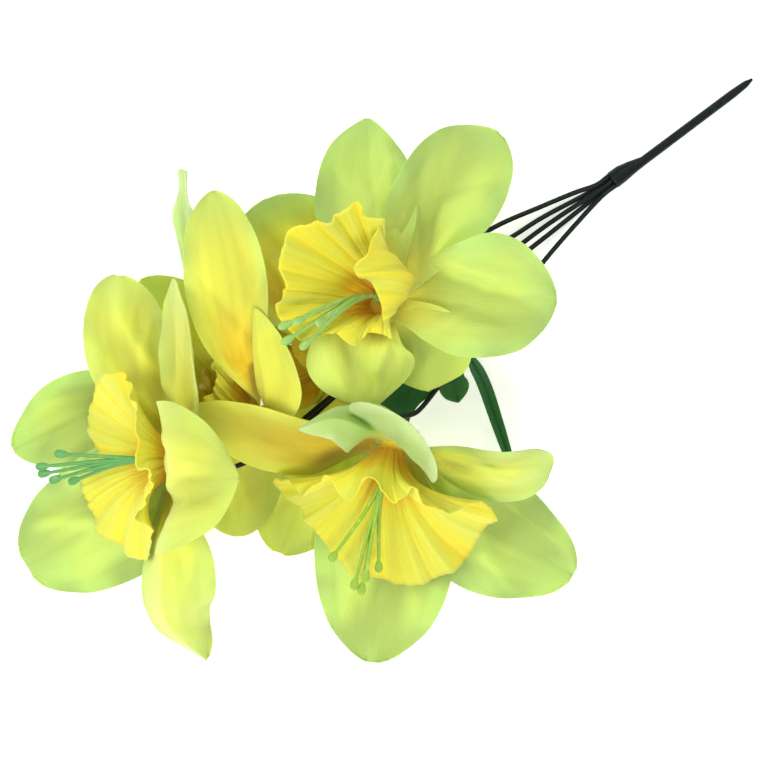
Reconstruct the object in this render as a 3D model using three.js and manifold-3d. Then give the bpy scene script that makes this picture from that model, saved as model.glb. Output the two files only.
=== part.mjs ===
// An artificial daffodil bunch: one moulded stem, five wires, five silk blooms and three ribbon leaves.
// Millimetres, +Z up. The bunch lies on its side on a surface at z = 0, its stem toward +X and +Y.
import * as THREE from 'three';
import { mergeVertices, mergeGeometries } from 'three/addons/utils/BufferGeometryUtils.js';
import Module from 'manifold-3d';

const wasm = await Module();
wasm.setup();
const { Vector3 } = THREE;

// Driving dimensions.
const cloth = 0.7; // thickness of a petal, a trumpet's wall and a leaf
const gap = 0.3; // running gap between pieces that touch
const wireRadius = 0.9;
const discRadius = 4.6; // the petals' joined centre
const discBack = 1.2; // the disc reaches this far behind the bloom's centre
const discFront = 1.4; // and this far in front of it
const calyxLength = 8;
const calyxRadius = 3.6;
const throatRadius = 5.2; // the trumpet's narrow end
const tubeLength = 14; // how far the trumpet runs straight before it flares
const belly = 4; // and how far it swells there, where a place on its rim gives no fourth number
const pleatDepth = 1; // at the rim
const pleats = 18;
const petalRoot = 2.5; // a petal starts this far from the bloom's axis, inside the disc
const petalSeat = 7.5; // and stays in the disc's plane out to here
const strandRadius = 0.75;
const pegLength = 5; // of the stamens' foot
const pegRadii = [1.4, 1.8];
const antherRadius = 1.2;
const antherStretch = 2.2;
const neckRadii = [1.5, 1.9]; // of the calyx, where the wire enters it
const neckLength = 3;
const wireStart = 5; // straight run out of the collar
const wireEnd = 3; // and into the calyx
const middle = [14.96, 1.6]; // of the turned bunch, which comes over the origin

// Shares of a blade's length and half-width where its grid has a row or a column.
const petalRows = [0, 0.07, 0.16, 0.3, 0.48, 0.66, 0.82, 0.93, 1];
const leafRows = [0, 0.15, 0.35, 0.55, 0.75, 0.9, 1];
const trumpetRows = [0, 0.3, 0.55, 0.8, 1];
const bladeColumns = [-1, -0.5, 0, 0.5, 1];
const leavesDisc = [0.1, 0.4]; // the shares between which a petal turns out of the disc's plane
const rootWidth = 0.12; // share of the half-width that is left at a root
const tipWidth = 0.02;
const petalShape = [0.58, 1, 0.55];
const leafShape = [0.45, 0.5, 0.6];

// A petal's spine starts in the bloom's disc and passes these three places, the last one its tip.
// widths are its half-widths left and right of the spine, looking from root to tip from above. tilt
// lifts each half, in degrees, across turns the whole blade to face that way, and cup raises the
// margins. shape is where it is widest, how slim its root is and how round its tip is. rim goes once
// round the trumpet's free edge, and wire passes from the collar to the calyx.
const blooms = {
  a: {
    centre: [2, 27, 36],
    facing: [-0.42, 0.26, 0.87],
    petals: [
      {
        spine: [[-1, 51, 34], [-3.5, 72.5, 28], [-4.5, 92.5, 24]],
        widths: [21, 15.5], shape: [0.56, 1, 0.8],
      },
      {
        spine: [[13.5, 50.5, 38], [27, 69.5, 38], [42.5, 86, 36]],
        widths: [18.5, 19], shape: [0.66, 1, 0.62],
      },
      {
        spine: [[23.5, 27, 42], [42.5, 28, 46], [61.5, 28.5, 46]],
        widths: [23, 20.5], shape: [0.6, 1, 0.62],
      },
      { spine: [[9.5, 15.5, 39], [14.5, 6, 38], [17, -4, 32]], widths: [20, 11], shape: [0.6, 1, 0.7] },
      {
        spine: [[-3, 14, 45], [-3.2, 2.8, 43], [-2.2, -10.8, 35]],
        widths: [16, 22.5], tilt: [-15, 0], shape: [0.56, 2, 1.3],
      },
      { spine: [[-11.5, 19.5, 34], [-20.5, 13, 34], [-29, 7, 34]], widths: [13, 13] },
    ],
    rim: [
      [-33, 49, 62], [-27, 52, 66], [-18.5, 54.5, 68], [-14.5, 57, 70], [-9, 60, 72], [-6, 56, 71],
      [2, 55.5, 68], [-3.5, 47, 69, 14], [-8.5, 39.5, 69, 22], [-8, 36, 67, 24], [-3, 33, 64, 20],
      [0, 27, 61, 14], [1, 20.5, 57, 10], [4.5, 14.5, 52], [0, 16, 53], [-5, 16, 54], [-8, 11.5, 53],
      [-12, 13.5, 54], [-16, 17, 55], [-22, 14, 55], [-28, 13.5, 55], [-32, 18.5, 56], [-36, 24.5, 57],
      [-35, 28.5, 58], [-32, 31, 59], [-34, 37, 60], [-34.5, 43.5, 61],
    ],
    stamens: [[-31.5, 14, 61], [-32.5, 19, 62], [-25.5, 12.5, 60], [-27.5, 20.5, 64], [-20, 20, 66]],
    wire: [[70, 67.3, 4], [57.4, 62, 6], [41, 54.7, 9], [21.5, 42, 17]],
  },
  b: {
    centre: [-70.5, -29, 34],
    facing: [-0.94, 0.1, 0.34],
    petals: [
      { spine: [[-80, -7, 25], [-89.5, 14, 20], [-92, 36.8, 26]], widths: [19, 16.5], tilt: [-25, 0] },
      {
        spine: [[-68, -7, 46], [-70.5, 14, 48], [-72.5, 35, 44]],
        widths: [18, 18], across: [0.36, 0.05, 0.93], shape: [0.5, 1, 0.62],
      },
      {
        spine: [[-73.5, -32.5, 58], [-67, -33.5, 71], [-48.5, -33.5, 66]],
        widths: [27, 27], across: [0, -1, 0], shape: [0.5, 0.8, 0.85],
      },
      {
        spine: [[-75.5, -61.5, 38], [-75.5, -84, 26], [-62, -100.5, 8]],
        widths: [18.8, 22], tilt: [-5, -70], shape: [0.5, 0.6, 0.7],
      },
      {
        spine: [[-87.5, -43.5, 9], [-106, -54.5, 0], [-127, -67, 0]],
        widths: [24, 24], cup: 0, shape: [0.54, 0.75, 0.42],
      },
      {
        spine: [[-88.5, -17.5, 9], [-108.5, -15.5, 0], [-132, -25, 0]],
        widths: [19, 19.5], cup: 0, shape: [0.5, 1, 0.65],
      },
    ],
    rim: [
      [-92.5, 3, 36], [-87, -3, 44, 6], [-83.5, -14, 56, 8], [-85, -26, 60, 9], [-79.5, -31.5, 59, 9],
      [-80, -38.5, 57, 9], [-83, -47, 52, 8], [-81, -54, 40, 6], [-81.5, -63.5, 26], [-91, -61.5, 15],
      [-98.5, -55, 10], [-104.5, -46, 8], [-106.5, -37.5, 7], [-104.5, -27, 7], [-103.5, -16, 9], [-102.5, -7, 16],
      [-99.5, 0, 27],
    ],
    stamens: [[-112, -26, 32], [-119, -30.5, 28], [-118.5, -33, 26], [-114.5, -35, 27], [-108, -35.5, 26]],
    wire: [
      [57.4, 49.8, 5.5], [18, 19.5, 15], [-12.5, -2, 22], [-32, -18, 22.3], [-43.5, -27, 23],
      [-53, -31, 25.5],
    ],
  },
  c: {
    centre: [4, -24.5, 34],
    facing: [-0.25, -0.87, 0.43],
    petals: [
      {
        spine: [[-23.5, -23.5, 42], [-45.5, -18, 44], [-65.5, -10.5, 42]],
        widths: [20, 12.5], tilt: [-55, 40], shape: [0.58, 0.6, 0.55],
      },
      {
        spine: [[-6, -16.5, 54], [-16, -13.5, 60], [-28, -17, 57]],
        widths: [11, 13], tilt: [-20, -70], shape: [0.36, 0.6, 0.8],
      },
      {
        spine: [[5, -21.5, 52], [8, -19, 64], [11.5, -16.5, 71.5]],
        widths: [20, 20], across: [0.75, -0.66, 0],
      },
      {
        spine: [[24.5, -28.5, 40], [42, -33, 38], [60, -32, 34]],
        widths: [15, 20], tilt: [55, -60], shape: [0.78, 1.4, 0.3],
      },
      { spine: [[26, -43, 9], [45, -55.5, 0], [69.5, -70, 0]], widths: [19, 24], cup: 0 },
      {
        spine: [[2, -52.5, 8], [0.5, -74, 0], [-3, -101.5, 0]],
        widths: [25.5, 25.5], cup: 0, shape: [0.55, 1, 0.6],
      },
    ],
    rim: [
      [-38, -38, 26], [-33.5, -33.5, 36], [-27, -40, 44, 7], [-18.5, -34.5, 50, 8], [-12, -41, 54, 8],
      [-3, -35, 58, 8], [5, -42.5, 58, 7], [11, -36.5, 57], [18.5, -46.5, 52], [27, -44.5, 46],
      [35, -43, 38], [41.5, -50, 28], [35.5, -52.5, 18], [32, -64.5, 11], [23, -69, 9], [13, -73, 8],
      [1, -72.5, 8], [-10, -68.5, 8], [-17, -62, 10], [-25.5, -51.5, 15], [-29, -43.5, 20],
    ],
    stamens: [[-9, -72, 22], [-6.5, -74, 20], [-0.5, -66, 22], [-16.5, -62.5, 20], [-5, -69, 26]],
    wire: [
      [70, 55.6, 4.6], [59.1, 43, 6.5], [43.5, 22.5, 12], [29.2, 6.1, 17], [21.3, -1.8, 20],
      [12.8, -11.5, 24.5],
    ],
  },
  d: {
    centre: [-47.5, -12, 28],
    facing: [-0.72, 0.5, 0.48],
    petals: [
      {
        spine: [[-49, 12, 48.5], [-53, 40, 47], [-59, 66, 42]],
        widths: [16.5, 14], tilt: [-5, 15], shape: [0.66, 2, 0.68],
      },
      {
        spine: [[-39.5, -11, 43], [-41.5, 8, 53], [-43.5, 25, 51]],
        widths: [6, 12.5], tilt: [-60, 0], shape: [0.45, 1, 0.85],
      },
      {
        spine: [[-60, 23, 25], [-67.5, 49, 28], [-69, 74, 32]],
        widths: [12, 13], across: [0.24, 0, 0.97], shape: [0.6, 1, 0.35],
      },
      { spine: [[-60, 7, 6], [-74, 21.5, 5], [-87, 34.5, 3]], widths: [17, 17] },
      { spine: [[-50.5, -27, 12], [-51, -41, 8], [-50, -56, 6]], widths: [16, 16] },
      { spine: [[-59, -15, 9], [-68.5, -16, 6], [-77, -18, 5]], widths: [12, 12] },
    ],
    rim: [
      [-57, 0.5, 44], [-59, -4.5, 42], [-63, -9, 37], [-66, -9.5, 29], [-69, -7, 22], [-71, 0, 19],
      [-70, 9, 20], [-67, 13, 27], [-64.5, 13.5, 34], [-60.5, 11.5, 40], [-58, 6.5, 43],
    ],
    stamens: [[-60.5, -1, 36], [-62, -2.5, 32], [-61, 1.5, 33], [-60, -4, 30]],
    wire: [[57.4, 53.8, 4.6], [18, 22.5, 12.4], [-10.5, -1, 19.6], [-31.5, -18, 19.7]],
  },
  e: {
    centre: [-19, 7, 19],
    facing: [-0.7, -0.25, -0.67],
    petals: [
      {
        spine: [[-26.5, 28.5, 20], [-32.5, 47, 19], [-39, 65, 16]],
        widths: [24, 24], shape: [0.58, 1.4, 0.55],
      },
      {
        spine: [[-28, 3, 23], [-37.5, -0.5, 22], [-45, -2.5, 20]],
        widths: [14, 8], tilt: [-25, -10], shape: [0.4, 1, 0.6],
      },
      {
        spine: [[-22, -17, 6], [-28, -42, 2], [-36, -62, 0.5]],
        widths: [20, 21], cup: 0, shape: [0.5, 1.2, 0.55],
      },
      { spine: [[-29, 22.5, 10], [-37, 31.5, 7], [-45, 40, 5]], widths: [13, 13] },
      { spine: [[-10.5, 25, 13], [-3, 42, 12], [4.5, 59, 9]], widths: [14, 14] },
      { spine: [[-10, 3, 8], [-0.5, 6.5, 4], [9, 12.5, 3]], widths: [14, 14], cup: 0 },
    ],
    rim: [
      [-38, 10.5, 9], [-42, 6.5, 12], [-43.5, 0.5, 12], [-42, -5, 10], [-38, -8, 6], [-33.5, -6.5, 2.5],
      [-31, 0, 1.5], [-32.5, 7, 2.5], [-35, 10.5, 5],
    ],
    stamens: [[-37, 2, 5], [-38, 0, 7], [-36, 4, 6], [-37, -3, 6]],
    wire: [[57.4, 57.8, 4.5], [48.4, 52, 6], [17, 32.5, 14], [-1, 17, 25]],
  },
};

const leaves = {
  1: {
    spine: [[32, 8.3, 14.9], [37, -1, 12], [41, -12.5, 9], [47, -30, 4]],
    widths: [2.5, 2.5], cup: 0.02, shape: [0.2, 0.5, 0.3],
  },
  2: {
    spine: [[28.8, 6.4, 15.4], [26, 2, 14.5], [26.5, -3, 13], [28, -8, 10.5]],
    widths: [5.5, 5.5], cup: 0.02, shape: [0.6, 1, 0.9],
  },
  3: {
    spine: [[20.8, -0.7, 18.5], [11, -3, 19.5], [5, -11, 20], [6.5, -24, 16]],
    widths: [6.5, 6.5],
  },
};

// The main stem's sections from its cut tip to the end of the collar, which swells to one side.
const stemTip = [134, 108.3];
const stemAngle = Math.atan2(0.6, 0.8); // its lie on the surface before the whole bunch is turned to +X
const stemSections = [
  { along: 0, wide: 0.4, high: 0.4, aside: 0 },
  { along: 3, wide: 1.2, high: 1.2, aside: 0 },
  { along: 9, wide: 1.5, high: 1.5, aside: 0 },
  { along: 49, wide: 1.6, high: 1.6, aside: 0 },
  { along: 54, wide: 2.4, high: 2, aside: -0.7 },
  { along: 58, wide: 3, high: 2.3, aside: -1 },
  { along: 62.5, wide: 3.1, high: 2.4, aside: -1 },
];
const stemDirection = new Vector3(-Math.cos(stemAngle), -Math.sin(stemAngle), 0);

// Where each wire leaves the collar: across its end and above the surface.
const wireSeats = { a: [-3.1, 3.5], e: [-2.1, 1.25], d: [-1, 3.5], b: [0.1, 1.25], c: [1.1, 3.5] };

const material = (color, roughness) => new THREE.MeshStandardMaterial({ color, roughness, metalness: 0 });
const finishes = {
  petals: material(0xd8e04a, 0.75),
  trumpet: material(0xf3d92a, 0.75),
  stamens: material(0x7fbf52, 0.45),
  calyx: material(0x2f6b33, 0.5),
  wire: material(0x18241f, 0.4),
  leaf: material(0x176b34, 0.65),
};

const vector = (p) => new Vector3(...p);

const smoothThrough = (places, closed = false) => new THREE.CatmullRomCurve3(places, closed, 'centripetal');

// Share of the full half-width at each share u of the length.
function petalOutline(u, [shoulder, slimness, roundness]) {
  if (u < shoulder) {
    return rootWidth + (1 - rootWidth) * Math.sin((Math.PI / 2) * (u / shoulder)) ** slimness;
  }
  return (1 - (1 - tipWidth) * ((u - shoulder) / (1 - shoulder)) ** 2) ** roundness;
}

// A triangle list as an indexed geometry with its faces pointing out.
function closedGeometry(points, triangles) {
  let volume = 0;
  for (const [i, j, k] of triangles) volume += points[i].dot(points[j].clone().cross(points[k]));
  const facing = volume > 0 ? triangles : triangles.map(([i, j, k]) => [i, k, j]);
  const geometry = new THREE.BufferGeometry();
  geometry.setAttribute('position', new THREE.Float32BufferAttribute(points.flatMap((p) => p.toArray()), 3));
  geometry.setIndex(facing.flat());
  return geometry;
}

// Unit normals of a grid of points, by differences between neighbours. A ring's last column meets its first.
function gridNormals(grid, ring) {
  const last = grid.length - 1;
  return grid.map((row, i) => row.map((_, j) => {
    const columns = row.length;
    const after = ring ? (j + 1) % columns : Math.min(j + 1, columns - 1);
    const before = ring ? (j + columns - 1) % columns : Math.max(j - 1, 0);
    const along = grid[Math.min(i + 1, last)][j].clone().sub(grid[Math.max(i - 1, 0)][j]);
    const across = row[after].clone().sub(row[before]);
    return across.cross(along).normalize();
  }));
}

// A thin blade: two faces half the cloth's thickness from the grid, and a wall round the edge.
function bladeSolid(grid) {
  const normals = gridNormals(grid, false);
  const columns = grid[0].length;
  const face = (side) => grid.flatMap((row, i) => row.map(
    (p, j) => p.clone().addScaledVector(normals[i][j], (side * cloth) / 2)));
  const points = [...face(1), ...face(-1)];
  const back = grid.length * columns;
  const triangles = [];
  for (let i = 0; i < grid.length - 1; i += 1) {
    for (let j = 0; j < columns - 1; j += 1) {
      const corner = i * columns + j;
      const [a, b, c, d] = [corner, corner + 1, corner + columns + 1, corner + columns];
      triangles.push([a, b, c], [a, c, d], [back + a, back + c, back + b], [back + a, back + d, back + c]);
    }
  }
  const edge = [];
  for (let j = 0; j < columns - 1; j += 1) edge.push(j);
  for (let i = 0; i < grid.length - 1; i += 1) edge.push(i * columns + columns - 1);
  for (let j = columns - 1; j > 0; j -= 1) edge.push((grid.length - 1) * columns + j);
  for (let i = grid.length - 1; i > 0; i -= 1) edge.push(i * columns);
  edge.forEach((a, n) => {
    const b = edge[(n + 1) % edge.length];
    triangles.push([b, a, back + a], [b, back + a, back + b]);
  });
  return closedGeometry(points, triangles);
}

// The grid of a petal or leaf: rows from root to tip, columns from its left margin to its right one.
// A petal's root lies in its bloom's disc, and what reaches the surface lies flat on it.
function bladeGrid(places, blade, rows, facing) {
  const curve = smoothThrough(places);
  const { widths, tilt = [0, 0], across, cup = 0.005, shape = petalShape } = blade;
  return rows.map((u) => {
    const middle = curve.getPointAt(u);
    const along = curve.getTangentAt(u);
    const side = across ? vector(across) : along.clone().cross(new Vector3(0, 0, 1));
    side.addScaledVector(along, -side.dot(along)).normalize();
    const free = facing ? THREE.MathUtils.smoothstep(u, ...leavesDisc) : 1;
    if (facing) {
      const seated = along.clone().cross(facing).normalize();
      side.lerpVectors(seated.multiplyScalar(Math.sign(seated.dot(side))), side, free).normalize();
    }
    const lift = side.clone().cross(along);
    return bladeColumns.map((v) => {
      const half = v > 0 ? 1 : 0;
      const reach = Math.abs(v) * widths[half] * petalOutline(u, shape);
      const lean = free * THREE.MathUtils.degToRad(tilt[half]);
      const p = middle.clone()
        .addScaledVector(side, Math.sign(v) * reach * Math.cos(lean))
        .addScaledVector(lift, reach * Math.sin(lean) + cup * reach * reach);
      p.z = Math.max(p.z, cloth / 2);
      return p;
    });
  });
}

// manifold-3d's solid of a closed geometry.
function toSolid(geometry) {
  const bare = new THREE.BufferGeometry();
  bare.setAttribute('position', geometry.getAttribute('position').clone());
  if (geometry.index) bare.setIndex(geometry.index.clone());
  const merged = mergeVertices(bare, 1e-4);
  return new wasm.Manifold(new wasm.Mesh({
    numProp: 3,
    vertProperties: new Float32Array(merged.getAttribute('position').array),
    triVerts: new Uint32Array(merged.index.array),
  }));
}

function toGeometry(solid) {
  const mesh = solid.getMesh();
  const geometry = new THREE.BufferGeometry();
  geometry.setAttribute('position', new THREE.Float32BufferAttribute(mesh.vertProperties, 3));
  geometry.setIndex(Array.from(mesh.triVerts));
  return geometry;
}

// One body from pieces that cross, without the loose scraps that their crossings leave.
function joined(geometries) {
  const bodies = geometries.map(toSolid).reduce((whole, piece) => whole.add(piece)).decompose();
  return toGeometry(bodies.reduce((most, body) => (body.volume() > most.volume() ? body : most)));
}

// Turns a shape made round the Y axis to stand at a place and point along a direction.
function stood(geometry, place, direction) {
  const turn = new THREE.Quaternion().setFromUnitVectors(new Vector3(0, 1, 0), direction);
  return geometry.applyQuaternion(turn).translate(...place.toArray());
}

function rodAlong(places, radius, sides, steps) {
  const circle = new THREE.Shape().absarc(0, 0, radius, 0, 2 * Math.PI);
  const extrudePath = smoothThrough(places);
  const options = { steps, curveSegments: sides / 2, extrudePath, bevelEnabled: false };
  return new THREE.ExtrudeGeometry(circle, options);
}

// Six petals in two layers of three, joined at a small disc.
function perianth(bloom, centre, facing) {
  const pieces = bloom.petals.map((petal) => {
    const outward = vector(petal.spine[0]).sub(centre);
    outward.addScaledVector(facing, -outward.dot(facing)).normalize();
    const seated = [petalRoot, petalSeat].map((reach) => centre.clone().addScaledVector(outward, reach));
    return bladeSolid(bladeGrid([...seated, ...petal.spine.map(vector)], petal, petalRows, facing));
  });
  const disc = new THREE.CylinderGeometry(discRadius, discRadius, discBack + discFront, 12);
  const middle = centre.clone().addScaledVector(facing, (discFront - discBack) / 2);
  return joined([stood(disc, middle, facing), ...pieces]);
}

// The trumpet: a pleated cup from its narrow throat to the free outline of its rim.
function trumpet(bloom, centre, facing) {
  const columns = 2 * pleats;
  const rim = smoothThrough(bloom.rim.map(([x, y, z]) => new Vector3(x, y, z)), true);
  const edge = Array.from({ length: columns }, (_, j) => rim.getPoint(j / columns));
  const bellies = edge.map((_, j) => {
    const place = (j / columns) * bloom.rim.length;
    const [from, to] = [0, 1].map((k) => bloom.rim[(Math.floor(place) + k) % bloom.rim.length][3] ?? belly);
    return THREE.MathUtils.lerp(from, to, place % 1);
  });
  const base = centre.clone().addScaledVector(facing, discFront + gap + cloth / 2);
  const right = edge[0].clone().sub(base);
  right.addScaledVector(facing, -right.dot(facing)).normalize();
  const ahead = facing.clone().cross(right);
  const hub = edge.reduce((sum, p) => sum.add(p), new Vector3()).divideScalar(columns);
  const bearing = (p) => {
    const out = p.clone().sub(hub);
    return Math.atan2(out.dot(ahead), out.dot(right));
  };
  const first = bearing(edge[0]);
  const step = (from, to) => Math.atan2(Math.sin(to - from), Math.cos(to - from));
  let turned = 0;
  const bearings = edge.map((p, j) => {
    if (j > 0) turned += step(bearing(edge[j - 1]), bearing(p));
    return turned;
  });
  const round = Math.sign(turned) * 2 * Math.PI;
  const radials = bearings.map((angle, j) => {
    const even = first + (angle + (round * j) / columns) / 2;
    return right.clone().multiplyScalar(Math.cos(even)).addScaledVector(ahead, Math.sin(even));
  });
  const lines = edge.map((end, j) => {
    const start = base.clone().addScaledVector(radials[j], throatRadius);
    const flare = start.clone().addScaledVector(facing, tubeLength).addScaledVector(radials[j], bellies[j]);
    return new THREE.QuadraticBezierCurve3(start, flare, end);
  });
  const smooth = trumpetRows.map((u) => lines.map((line) => line.getPoint(u)));
  const outward = gridNormals(smooth, true);
  const pleated = smooth.map((row, i) => row.map((p, j) => (
    p.clone().addScaledVector(outward[i][j], pleatDepth * trumpetRows[i] * (j % 2 ? 1 : -1)))));
  const normals = gridNormals(pleated, true);
  const face = (side) => pleated.flatMap((row, i) => row.map((p, j) => {
    if (i > 0) return p.clone().addScaledVector(normals[i][j], (side * cloth) / 2);
    const offset = (Math.sign(normals[1][j].dot(radials[j])) * side * cloth) / 2;
    return p.clone().addScaledVector(radials[j], offset).addScaledVector(facing, -offset);
  }));
  const outerIs = Math.sign(normals[1][0].dot(radials[0]));
  const points = [...face(1), ...face(-1)];
  const back = trumpetRows.length * columns;
  points.push(base.clone().addScaledVector(facing, (-outerIs * cloth) / 2));
  points.push(base.clone().addScaledVector(facing, (outerIs * cloth) / 2));
  const triangles = [];
  for (let j = 0; j < columns; j += 1) {
    const next = (j + 1) % columns;
    for (let i = 0; i < trumpetRows.length - 1; i += 1) {
      const [a, b] = [i * columns + j, i * columns + next];
      const [c, d] = [b + columns, a + columns];
      triangles.push([a, b, c], [a, c, d], [back + a, back + c, back + b], [back + a, back + d, back + c]);
    }
    const lastRow = (trumpetRows.length - 1) * columns;
    const [p, q] = [lastRow + j, lastRow + next];
    triangles.push([p, q, back + q], [p, back + q, back + p]);
    triangles.push([j, points.length - 2, next], [back + j, back + next, points.length - 1]);
  }
  return closedGeometry(points, triangles);
}

// The moulded cluster in the throat: a peg and its strands, each with a swollen end.
function stamens(bloom, centre, facing) {
  const foot = discFront + 2 * gap + cloth;
  const at = (distance) => centre.clone().addScaledVector(facing, distance);
  const peg = stood(new THREE.CylinderGeometry(...pegRadii, pegLength, 8), at(foot + pegLength / 2), facing);
  const pieces = bloom.stamens.flatMap((tip) => {
    const end = vector(tip);
    const lift = at(foot + 12).lerp(end, 0.25).addScaledVector(facing, 1);
    const places = [at(foot + 2), at(foot + 7), lift, end];
    const rod = rodAlong(places, strandRadius, 6, 4);
    const direction = end.clone().sub(lift).normalize();
    const anther = new THREE.SphereGeometry(antherRadius, 6, 3).scale(1, antherStretch, 1);
    return [rod, stood(anther, end, direction)];
  });
  return joined([peg, ...pieces]);
}

// The green cap that holds the petals on the wire's end.
function calyx(centre, facing) {
  const [mouth, neck] = neckRadii;
  const profile = [[0, 0], [mouth, 0], [neck, neckLength], [calyxRadius, calyxLength], [0, calyxLength]];
  const lathe = new THREE.LatheGeometry(profile.map(([r, y]) => new THREE.Vector2(r, y)), 10);
  return stood(lathe, centre.clone().addScaledVector(facing, -discBack - gap - calyxLength), facing);
}

const collarEnd = new Vector3(...stemTip, 0).addScaledVector(stemDirection, stemSections.at(-1).along);
const collarSide = new Vector3(-stemDirection.y, stemDirection.x, 0);

function wire(bloom, centre, facing, [aside, height]) {
  const start = collarEnd.clone().addScaledVector(stemDirection, gap).addScaledVector(collarSide, aside);
  start.z = height;
  const behind = (distance) => centre.clone().addScaledVector(facing, -distance);
  const seat = discBack + gap + calyxLength + gap;
  const straight = start.clone().addScaledVector(stemDirection, wireStart);
  const places = [start, straight, ...bloom.wire.map(vector), behind(seat + wireEnd), behind(seat)];
  return rodAlong(places, wireRadius, 8, 16);
}

// The moulded stem, pointed at its cut end, with an oval collar flat underneath.
function mainStem() {
  const sides = 12;
  const sunk = 0.93; // share of a section's height that its middle lies up, which leaves it flat below
  const rings = stemSections.map(({ along, wide, high, aside }) => {
    const middle = new Vector3(...stemTip, sunk * high).addScaledVector(stemDirection, along);
    middle.addScaledVector(collarSide, aside);
    return Array.from({ length: sides }, (_, k) => {
      const angle = (2 * Math.PI * (k + 0.5)) / sides;
      const p = middle.clone().addScaledVector(collarSide, wide * Math.cos(angle));
      p.z = Math.max(0, p.z + high * Math.sin(angle));
      return p;
    });
  });
  const points = rings.flat();
  const triangles = [];
  for (let k = 0; k < sides; k += 1) {
    const next = (k + 1) % sides;
    for (let i = 0; i < rings.length - 1; i += 1) {
      const [a, b] = [i * sides + k, i * sides + next];
      triangles.push([a, b, b + sides], [a, b + sides, a + sides]);
    }
    if (k > 0 && next > 0) {
      const end = (rings.length - 1) * sides;
      triangles.push([0, next, k], [end, end + k, end + next]);
    }
  }
  return closedGeometry(points, triangles);
}

// The blooms are laid out as they lie round a point between them, then turned so that the stem runs
// along +X.
const bunch = new THREE.Group();
bunch.rotation.z = -stemAngle;
bunch.position.set(-middle[0], -middle[1], 0);

function addMesh(name, geometry, finish) {
  const mesh = new THREE.Mesh(geometry, finish);
  mesh.name = name;
  bunch.add(mesh);
}

addMesh('main_stem', mainStem(), finishes.wire);
for (const [letter, bloom] of Object.entries(blooms)) {
  const centre = vector(bloom.centre);
  const facing = vector(bloom.facing).normalize();
  addMesh(`wire_${letter}`, wire(bloom, centre, facing, wireSeats[letter]), finishes.wire);
  addMesh(`calyx_${letter}`, calyx(centre, facing), finishes.calyx);
  addMesh(`petals_${letter}`, perianth(bloom, centre, facing), finishes.petals);
  addMesh(`trumpet_${letter}`, trumpet(bloom, centre, facing), finishes.trumpet);
  addMesh(`stamens_${letter}`, stamens(bloom, centre, facing), finishes.stamens);
}
for (const [number, leaf] of Object.entries(leaves)) {
  const grid = bladeGrid(leaf.spine.map(vector), { shape: leafShape, ...leaf }, leafRows);
  addMesh(`leaf_${number}`, bladeSolid(grid), finishes.leaf);
}

export default bunch;
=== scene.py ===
# %% [markdown]
# An artificial daffodil bunch, lying on its side and seen from straight above. One moulded stem
# ends in a collar, five coated wires fan out of it, and each carries a bloom of six silk petals, a
# pleated silk trumpet and a moulded cluster of stamens. The shared frame gives the origin and the
# size, and every length below is in millimetres until it goes into a mesh.

# %% Open the shared frame
import math

import bpy
import numpy as np
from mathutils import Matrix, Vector


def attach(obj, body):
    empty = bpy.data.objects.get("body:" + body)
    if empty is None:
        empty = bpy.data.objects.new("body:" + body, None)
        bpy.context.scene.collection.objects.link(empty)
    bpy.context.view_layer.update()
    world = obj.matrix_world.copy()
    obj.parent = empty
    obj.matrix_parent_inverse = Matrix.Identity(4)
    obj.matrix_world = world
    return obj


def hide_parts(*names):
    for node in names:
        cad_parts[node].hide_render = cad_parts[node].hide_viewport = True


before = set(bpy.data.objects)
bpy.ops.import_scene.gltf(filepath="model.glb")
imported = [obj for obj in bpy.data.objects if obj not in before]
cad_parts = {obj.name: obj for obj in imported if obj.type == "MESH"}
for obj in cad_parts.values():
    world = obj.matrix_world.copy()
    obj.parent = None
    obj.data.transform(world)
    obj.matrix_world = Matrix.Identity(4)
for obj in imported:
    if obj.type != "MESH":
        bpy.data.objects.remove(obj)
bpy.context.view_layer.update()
print("nodes of the part:", len(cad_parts))

# %% [markdown]
# The bunch was laid out as it lies in front of the camera, with x to the right of the picture and
# y up it, and then turned so that its stem runs along the frame's X axis. The same turn is made
# here, so that a place can be written as it is seen.

# %% Places as they lie before the bunch is turned
MM = 0.001
STEM_ANGLE = math.atan2(0.6, 0.8)
MIDDLE = np.array([14.96, 1.6, 0.0])
TURN = np.array([
    [math.cos(STEM_ANGLE), math.sin(STEM_ANGLE), 0.0],
    [-math.sin(STEM_ANGLE), math.cos(STEM_ANGLE), 0.0],
    [0.0, 0.0, 1.0],
])


def to_frame(places):
    """Layout millimetres to metres in the shared frame."""
    return (np.asarray(places, dtype=float) @ TURN.T - MIDDLE) * MM


print("middle of the layout in the frame:", to_frame([0.0, 0.0, 0.0]).round(4))

# %% [markdown]
# The camera comes first. It hangs straight over the middle of the layout, with a long lens, so the
# blooms that stand up from the surface look only a little larger than the petals that lie on it.

# %% Camera straight above
CAMERA_HEIGHT = 1400.0
LENS = 184.2
camera = bpy.data.objects.new("camera_above", bpy.data.cameras.new("camera_above"))
bpy.context.scene.collection.objects.link(camera)
camera.data.lens = LENS
camera.data.sensor_width = 36.0
camera.data.clip_start = 0.1
camera.data.clip_end = 20.0
camera.location = to_frame([0.0, 0.0, CAMERA_HEIGHT])
camera.rotation_euler = (0.0, 0.0, -STEM_ANGLE)
bpy.context.scene.camera = camera
print("camera at", [round(value, 3) for value in camera.location])

# %% [markdown]
# Silk flowers are photographed in flat, bright light on a light table, which glows by itself, so it
# stays white under them and lights them a little from below. A white sky does part of the work. Two
# soft lamps, on the left and in front, show the creases in the petals and look into the trumpets,
# and a weak one lights the petals that lean back. The standard view keeps the yellows strong.

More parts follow.
